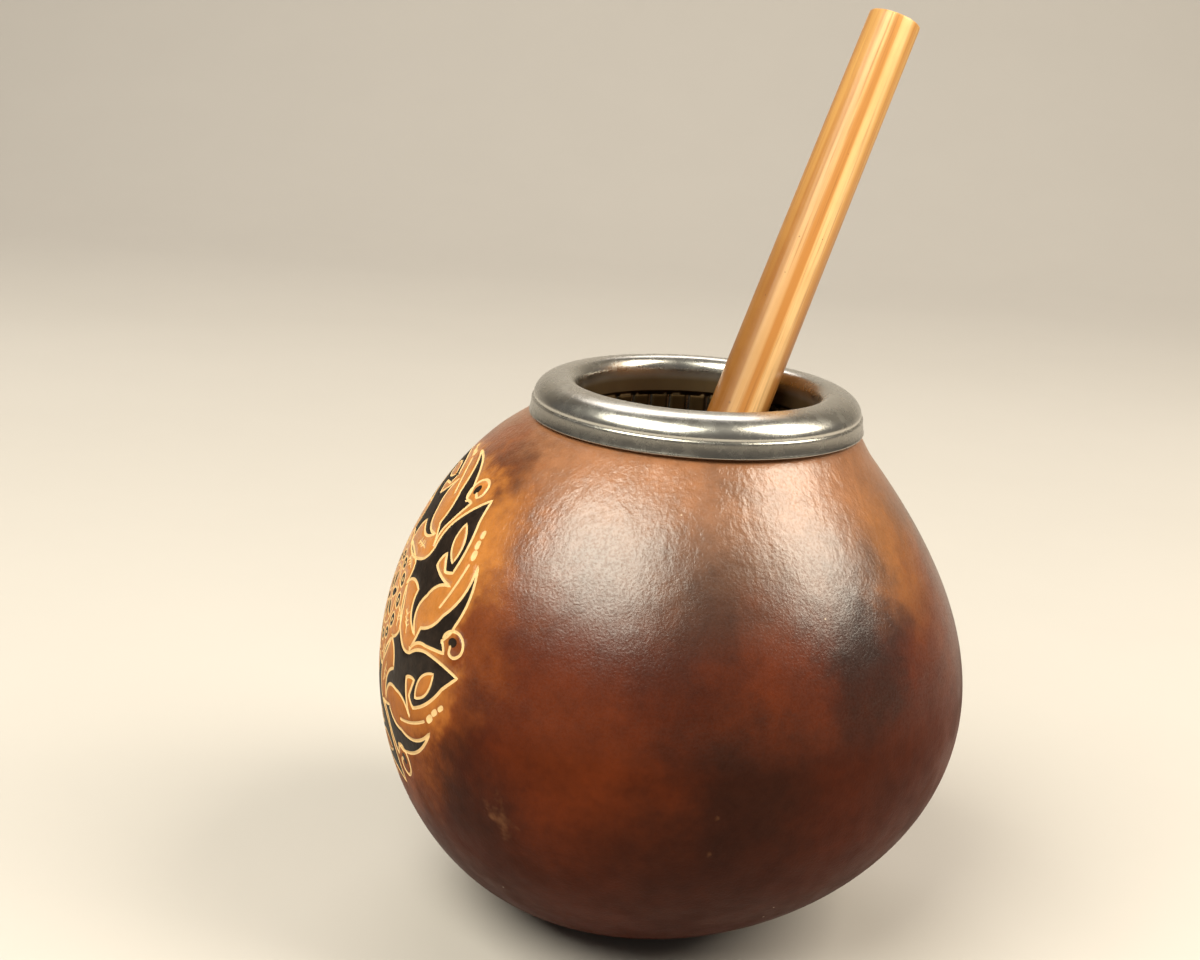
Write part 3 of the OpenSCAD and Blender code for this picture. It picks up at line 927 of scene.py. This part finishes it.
# blotches on the skin: shade, centre in mm, radius, softness, strength
BLOTCHES = (
    ("honey", (-25, -30, 67), 12, 8, 0.85), ("amber", (-24.5, -27, 70), 8.5, 5.5, 0.9),
    ("amber", (39, -19, 71), 8.5, 7.5, 0.45), ("honey", (44, -15, 63), 9, 8, 0.5),
    ("rust", (20.5, -43, 57.5), 10, 8, 0.55), ("rust", (-4.5, -48, 38.5), 13, 9, 0.6),
    ("rust", (-12, -44.5, 53.5), 9, 8, 0.5), ("smoke", (35, -36, 42), 9, 8, 0.35),
    ("rust", (40, 14, 60), 13, 10, 0.5), ("rust", (-6, 44, 62), 14, 9, 0.5),
    ("smoke", (34, -33.5, 61.5), 7.5, 6.5, 0.9), ("smoke", (34.5, -36, 53.5), 6, 6, 0.6),
    ("smoke", (9, -41, 68), 7, 7, 0.55), ("smoke", (6.5, -45, 59.5), 7, 7, 0.45),
    ("smoke", (18, -47, 41), 12, 9, 0.8), ("smoke", (4, -46, 27), 9, 9, 0.35),
    ("smoke", (-24.5, -38, 34), 8, 7, 0.7), ("smoke", (-16, -41, 23), 9, 8, 0.45),
    ("smoke", (14, -43, 22), 15, 11, 0.45), ("smoke", (-21, -18.5, 81), 4.5, 4.5, 0.55),
    ("smoke", (12.5, -28, 83.5), 6, 5, 0.4), ("smoke", (46, 12, 40), 12, 9, 0.7),
    ("smoke", (14, 46, 50), 12, 9, 0.75), ("smoke", (-28, 36, 34), 10, 9, 0.6),
    ("smoke", (30, 26, 76), 8, 7, 0.5), ("smoke", (6, 0, 0), 22, 12, 0.5),
    ("scuff", (-17, -41.5, 29.5), 1.6, 1.8, 0.35), ("scuff", (11.5, -47, 32.5), 1.1, 1.2, 0.4),
    ("scuff", (-10, 44, 30), 1.8, 1.8, 0.35))
# how far the blotches' edges wander, in mm
WANDER = 22.0
# long bands on the cane: shade, direction round the axis in degrees, half width, strength
# the bands that darken the cane's two sides, at 158 and -50 degrees, are painted shade, and the pale bands are
# painted highlights
CANE_BANDS = (("shaded_edge", 158.0, 80.0, 0.95), ("shaded_edge", -50.0, 50.0, 0.85), ("core", -126.0, 9.0, 0.55),
              ("pale", -104.0, 17.0, 0.55), ("pale", -146.0, 13.0, 0.30), ("core", -78.0, 6.0, 0.40),
              ("core", 60.0, 10.0, 0.45), ("pale", 25.0, 14.0, 0.40))


def skin_material(look, mark):
    material, tree, shader, space = new_material(
        "gourd_skin", Specular_IOR_Level=0.05, Coat_Roughness=0.285, Coat_IOR=1.74)
    height = axis_value(tree, space, "Z")
    middle = mottle(tree, space, 7.0, 0.36, 0.70)
    drift = noise(tree, space, 9.0, 4.0, 0.62, "Color")
    ragged = vector_node(tree, "MULTIPLY_ADD", drift, (WANDER,) * 3, space)
    ragged = vector_node(tree, "SUBTRACT", ragged, (WANDER / 2,) * 3)

    def blotch(centre, radius, softness):
        away = vector_node(tree, "DISTANCE", ragged, centre)
        return ramp(tree, away, radius - softness, radius + softness, 1.0, 0.0)

    # brown below, a grey haze and a lighter shoulder above, partly skin colour and partly painted sheen of the lamps'
    # highlights, then the blotches with the amber field round the carving over them
    shades = {"amber": look.amber, "honey": look.honey, "rust": look.rust, "smoke": look.smoke,
              "scuff": (0.32, 0.15, 0.065)}
    colour = lay(tree, look.brown, mottle(tree, space, 24.0, 0.36, 0.66), 0.6, dimmed(look.brown, 0.55))
    # painted sheen, partly skin colour: the grey haze band and the lighter shoulder stand in for the spread of the
    # highlights
    colour = mix(tree, ramp(tree, height, 58.0, 72.0, 0.0, 0.75), colour, look.haze)
    colour = mix(tree, ramp(tree, height, 71.0, 84.0, 0.0, 0.85), colour, look.shoulder)
    colour = mix(tree, blotch(mark, 33.0, 6.0), colour, look.honey)
    for shade, centre, radius, softness, strength in BLOTCHES:
        colour = lay(tree, colour, blotch(centre, radius, softness), strength, shades[shade])
    colour = lay(tree, colour, blotch(mark, 28.0, 3.0), ramp(tree, height, 30.0, 62.0, 0.22, 1.0), look.amber)
    # painted shade: the skin darkens towards the foot
    foot_shade = ramp(tree, height, 40.0, 6.0, 0.0, 0.55)
    colour = mix(tree, foot_shade, colour, dimmed(look.brown, 0.45))
    colour = lay(tree, colour, middle, 0.30, (0.42, 0.42, 0.42), "MULTIPLY")
    colour = lay(tree, colour, mottle(tree, space, 1.9, 0.34, 0.72), 0.30, (0.50, 0.46, 0.42), "MULTIPLY")
    colour = lay(tree, colour, specks(tree, space, 5.0, 0.035), 0.6, (0.75, 0.6, 0.45))
    put(tree, colour, shader.inputs["Base Color"])
    put(tree, ramp(tree, middle, 0.0, 1.0, 0.42, 0.54, smooth=False), shader.inputs["Roughness"])

    # orange-peel varnish, thin low down, with long wrinkles running up to the neck
    grain = noise(tree, space, 0.42, 3.0, 0.6)
    gloss = ramp(tree, height, 42.0, 68.0, 0.03, 1.0)
    put(tree, times(tree, gloss, ramp(tree, grain, 0.36, 0.58, 0.66, 1.0)), shader.inputs["Coat Weight"])
    wrinkle = noise(tree, millimetres(tree, (1.0, 1.0, 0.2)), 1.1, 2.0)
    relief = math_node(tree, "ADD", times(tree, grain, 0.42), noise(tree, space, 4.5, 1.0, 0.5))
    neck = ramp(tree, height, 60.0, 83.0, 0.15, 1.0)
    bump(tree, shader, math_node(tree, "ADD", relief, times(tree, wrinkle, neck)), 0.14, 0.8)
    return material


def cut_material(look):
    material, tree, shader, space = new_material("pale_cut", Roughness=0.6)
    wood = mottle(tree, space, 1.6, 0.3, 0.75)
    colour = lay(tree, look.cut_colour, wood, 0.4, dimmed(look.cut_colour, 0.62))
    put(tree, colour, shader.inputs["Base Color"])
    bump(tree, shader, noise(tree, space, 0.5, 2.0), 0.05, 0.5)
    return material


def scorch_material(look):
    material, tree, shader, space = new_material("scorched_field", Roughness=0.5, Specular_IOR_Level=0.12)
    char = mottle(tree, space, 1.8, 0.3, 0.8)
    put(tree, mix(tree, char, look.scorch, dimmed(look.scorch, 2.6)), shader.inputs["Base Color"])
    bump(tree, shader, noise(tree, space, 1.0, 2.0), 0.1, 0.5)
    return material


def bowl_material():
    material, tree, shader, space = new_material("gourd_inside", Roughness=0.7)
    stain = mottle(tree, space, 8.0, 0.3, 0.7)
    put(tree, mix(tree, stain, (0.10, 0.045, 0.018), (0.045, 0.022, 0.01)), shader.inputs["Base Color"])
    bump(tree, shader, noise(tree, space, 1.6, 4.0), 0.3, 0.7)
    return material


def rim_material(look):
    material, tree, shader, space = new_material("polished_rim", Metallic=1.0)
    from_axis = vector_node(tree, "SUBTRACT", space, (RIM_X, RIM_Y, 0.0))
    reach = vector_node(tree, "LENGTH", vector_node(tree, "MULTIPLY", from_axis, (1.0, 1.0, 0.0)))
    above = math_node(tree, "SUBTRACT", axis_value(tree, space, "Z"), RIM_TOP - look.dome)

    # the skirt below the step line is darkened, a painted darker reflection, and the collar inside the mouth is
    # darkened to brown, painted shade that is deepest at the tabs
    colour = lay(tree, look.metal, mottle(tree, space, 9.0, 0.3, 0.7), 0.30, (0.60, 0.54, 0.46))
    # painted reflection: darker metal below the step line
    colour = mix(tree, ramp(tree, above, 0.1, -0.5, 0.0, 0.55), colour, (0.22, 0.20, 0.17))
    # painted shade: the collar inside the mouth turns brown, darkest deep down at the tabs
    inner = ramp(tree, reach, look.in_radius + 0.9, look.in_radius + 0.3)
    stain = times(tree, inner, ramp(tree, above, 1.9, -0.4))
    deep_mouth_shade = times(tree, stain, ramp(tree, above, 0.2 - look.band, -0.3 - look.band))
    colour = lay(tree, colour, stain, 0.92, (0.150, 0.094, 0.036))
    colour = lay(tree, colour, deep_mouth_shade, 0.85, (0.050, 0.028, 0.010))
    put(tree, colour, shader.inputs["Base Color"])
    polish = ramp(tree, mottle(tree, space, 2.2, 0.35, 0.7), 0.0, 1.0, 0.24, 0.30, smooth=False)
    put(tree, math_node(tree, "ADD", polish, times(tree, stain, 0.30)), shader.inputs["Roughness"])
    bump(tree, shader, noise(tree, millimetres(tree, (1.0, 1.0, 4.0)), 0.45, 2.0), 0.0012, 0.5)
    return material


def cane_material(look, length):
    material, tree, shader, space = new_material(
        "bamboo_cane", Specular_IOR_Level=0.3, Coat_Weight=0.15, Coat_Roughness=0.28)
    streaks = millimetres(tree, (1.0, 1.0, 0.02))
    fine, broad = noise(tree, streaks, 0.55, 4.0, 0.6), noise(tree, streaks, 2.4, 2.0)
    height = axis_value(tree, space, "Z")
    around = vector_node(tree, "NORMALIZE", vector_node(tree, "MULTIPLY", space, (1.0, 1.0, 0.0)))

    # painted shade darkens the cane's two sides, and painted highlights lighten the pale bands
    shades = {"shaded_edge": (0.20, 0.066, 0.006), "core": look.streak, "pale": (0.98, 0.66, 0.33)}
    ripe = ramp(tree, height, length * 0.45, length, 0.0, 0.75)
    # the painted side shade weakens towards the top
    edge_shade_fade = ramp(tree, height, length * 0.5, length * 0.95, 1.0, 0.35)
    colour = mix(tree, ripe, look.honey, (0.84, 0.49, 0.16))
    colour = mix(tree, ramp(tree, broad, 0.47, 0.64, 0.0, 0.7), colour, look.streak)
    for shade, turn, width, strength in CANE_BANDS:
        a, edge, core = np.radians((turn, width, width * 0.35))
        facing = vector_node(tree, "DOT_PRODUCT", around, (math.cos(a), math.sin(a), 0.0))
        mask = ramp(tree, facing, math.cos(edge), math.cos(core), 0.0, strength)
        colour = lay(tree, colour, mask, edge_shade_fade if shade == "shaded_edge" else 1.0, shades[shade])
    colour = mix(tree, ramp(tree, fine, 0.48, 0.72, 0.0, 0.55), colour, dimmed(look.streak, 0.6))
    colour = lay(tree, colour, mottle(tree, space, 9.0, 0.35, 0.7), 0.22, (0.50, 0.24, 0.06))
    colour = lay(tree, colour, specks(tree, space, 3.5, 0.06), 0.6, (0.14, 0.06, 0.02))
    put(tree, colour, shader.inputs["Base Color"])
    put(tree, ramp(tree, fine, 0.3, 0.7, 0.32, 0.5), shader.inputs["Roughness"])
    bump(tree, shader, fine, 0.10, 0.6)
    return material


def paper_material(look):
    material, tree, shader, space = new_material("pale_paper", Roughness=0.75, Emission_Color=PALE_LIGHT)
    tint = mottle(tree, space, 60.0, 0.3, 0.7)
    colour = lay(tree, look.floor_colour, tint, 0.12, dimmed(look.floor_colour, 0.9))
    put(tree, colour, shader.inputs["Base Color"])

    # far off to the front and sides, where the lamps fade, the sheet stays pale to the eye
    far = ramp(tree, vector_node(tree, "LENGTH", space), 300.0, 1200.0, 0.0, 0.55)
    front = ramp(tree, axis_value(tree, space, "Y"), 520.0, 260.0)
    side = ramp(tree, math_node(tree, "ABSOLUTE", axis_value(tree, space, "X")), 600.0, 1100.0)
    pale = times(tree, far, math_node(tree, "MAXIMUM", front, side))
    seen = tree.nodes.new("ShaderNodeLightPath").outputs["Is Camera Ray"]
    put(tree, times(tree, pale, seen), shader.inputs["Emission Strength"])
    return material


# ---------------------------------------------------------------- stage

# softboxes: name, turn and rise in degrees, distance, width and height in metres, power in watts, colour
SOFTBOXES = (("left_softbox", -41, 50, 0.95, 0.80, 0.58, 13.8, (1.0, 0.975, 0.835)),
             ("right_softbox", 82, 44, 0.95, 0.50, 0.64, 10.4, (1.0, 0.93, 0.775)),
             ("back_light", 190, 55, 1.6, 1.0, 0.6, 6, (1.0, 0.96, 0.92)))
LIT_PLACE = Vector((0.006, 0, 0.06))
# the paper sheet, in mm: half its width, where it starts, where it begins to sweep up, and its top
SHEET_SIDE, SHEET_FRONT, SHEET_BACK, SHEET_TOP, SWEEP = 2200.0, -1500.0, 700.0, 2200.0, 500.0


def build_stage(look, dome):
    scene = bpy.context.scene
    path = [(SHEET_FRONT, 0.0), (SHEET_BACK, 0.0)]
    path += [(SHEET_BACK + SWEEP * math.sin(a), SWEEP - SWEEP * math.cos(a)) for a in np.radians(np.arange(6, 91, 6))]
    path.append((SHEET_BACK + SWEEP, SHEET_TOP))
    points = [(x, y, z) for y, z in path for x in (-SHEET_SIDE, SHEET_SIDE)]
    faces = [(2 * i, 2 * i + 1, 2 * i + 3, 2 * i + 2) for i in range(len(path) - 1)]
    sweep = mesh_piece("paper_sweep", points, faces, [paper_material(look)])

    for name, turn, rise, distance, width, height, power, colour in SOFTBOXES:
        a, e = math.radians(turn), math.radians(rise)
        toward = Vector((math.sin(a) * math.cos(e), -math.cos(a) * math.cos(e), math.sin(e)))
        lamp = bpy.data.lights.new(name, "AREA")
        lamp.shape = "RECTANGLE"
        lamp.size, lamp.size_y = width, height
        lamp.energy, lamp.color = power, colour
        holder = bpy.data.objects.new(name, lamp)
        holder.location = LIT_PLACE + toward * distance
        holder.rotation_euler = toward.to_track_quat("Z", "Y").to_euler()
        scene.collection.objects.link(holder)

    world = bpy.data.worlds.new("studio")
    world.use_nodes = True
    tree = world.node_tree
    sky = tree.nodes["Background"]
    sky.inputs["Color"].default_value = PALE_LIGHT
    # seen directly the studio is pale, yet it lights the cup only a little
    seen = tree.nodes.new("ShaderNodeLightPath").outputs["Is Camera Ray"]
    put(tree, ramp(tree, seen, 0.0, 1.0, 0.14, 0.62), sky.inputs["Strength"])
    scene.world = world
    scene.view_settings.view_transform = "Standard"

    lens = bpy.data.cameras.new("camera")
    lens.lens = look.lens
    lens.sensor_width = 36.0
    lens.clip_start = 0.01
    camera = bpy.data.objects.new("camera", lens)
    scene.collection.objects.link(camera)
    level = math.cos(look.tilt)
    forward = Vector((-math.sin(look.pan) * level, math.cos(look.pan) * level, -math.sin(look.tilt)))
    right = Vector((math.cos(look.pan), math.sin(look.pan), 0.0))
    right, up = rolled(right, right.cross(forward), look.roll)
    place = Vector((RIM_X, RIM_Y - look.camera_back, RIM_TOP - dome + look.camera_up)) * MM
    camera.matrix_world = placed(right, up, -forward, place)
    scene.camera = camera


# ---------------------------------------------------------------- operators and panel

class MATE_OT_stage(bpy.types.Operator):
    """Build the pale floor, the soft lights and the camera"""
    bl_idname = "mate_cup.stage"
    bl_label = "Build stage"

    def execute(self, context):
        build_stage(context.scene.mate_stage, context.scene.mate_rim.dome)
        return {"FINISHED"}


class MATE_OT_gourd(bpy.types.Operator):
    """Build the carved gourd shell"""
    bl_idname = "mate_cup.gourd"
    bl_label = "Build gourd"

    def execute(self, context):
        piece = build_gourd(context.scene.mate_gourd, context.scene.mate_rim)
        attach(piece, "root")
        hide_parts("gourd")
        return {"FINISHED"}


class MATE_OT_rim(bpy.types.Operator):
    """Build the folded metal rim"""
    bl_idname = "mate_cup.rim"
    bl_label = "Build rim"

    def execute(self, context):
        piece = build_rim(context.scene.mate_rim)
        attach(piece, "root")
        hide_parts("rim")
        return {"FINISHED"}


class MATE_OT_straw(bpy.types.Operator):
    """Build the bamboo straw"""
    bl_idname = "mate_cup.straw"
    bl_label = "Build straw"

    def execute(self, context):
        piece = build_straw(context.scene.mate_straw)
        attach(piece, "root")
        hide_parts("straw")
        return {"FINISHED"}


LOOKS = (("mate_gourd", GourdLook), ("mate_rim", RimLook), ("mate_straw", StrawLook), ("mate_stage", StageLook))
OPERATORS = (MATE_OT_gourd, MATE_OT_rim, MATE_OT_straw, MATE_OT_stage)


class MATE_PT_panel(bpy.types.Panel):
    bl_label = "Mate cup"
    bl_idname = "MATE_PT_panel"
    bl_space_type = "VIEW_3D"
    bl_region_type = "UI"
    bl_category = "Mate cup"

    def draw(self, context):
        for (name, group), operator in zip(LOOKS, OPERATORS):
            box = self.layout.box()
            box.operator(operator.bl_idname)
            for value in group.__annotations__:
                box.prop(getattr(context.scene, name), value)


def register():
    for name, group in LOOKS:
        bpy.utils.register_class(group)
        setattr(bpy.types.Scene, name, PointerProperty(type=group))
    for shown in (*OPERATORS, MATE_PT_panel):
        bpy.utils.register_class(shown)


def unregister():
    for shown in (MATE_PT_panel, *reversed(OPERATORS)):
        bpy.utils.unregister_class(shown)
    for name, group in reversed(LOOKS):
        delattr(bpy.types.Scene, name)
        bpy.utils.unregister_class(group)


def main():
    register()
    bpy.ops.mate_cup.stage()
    bpy.ops.mate_cup.gourd()
    bpy.ops.mate_cup.rim()
    bpy.ops.mate_cup.straw()


if __name__ == "__main__":
    main()
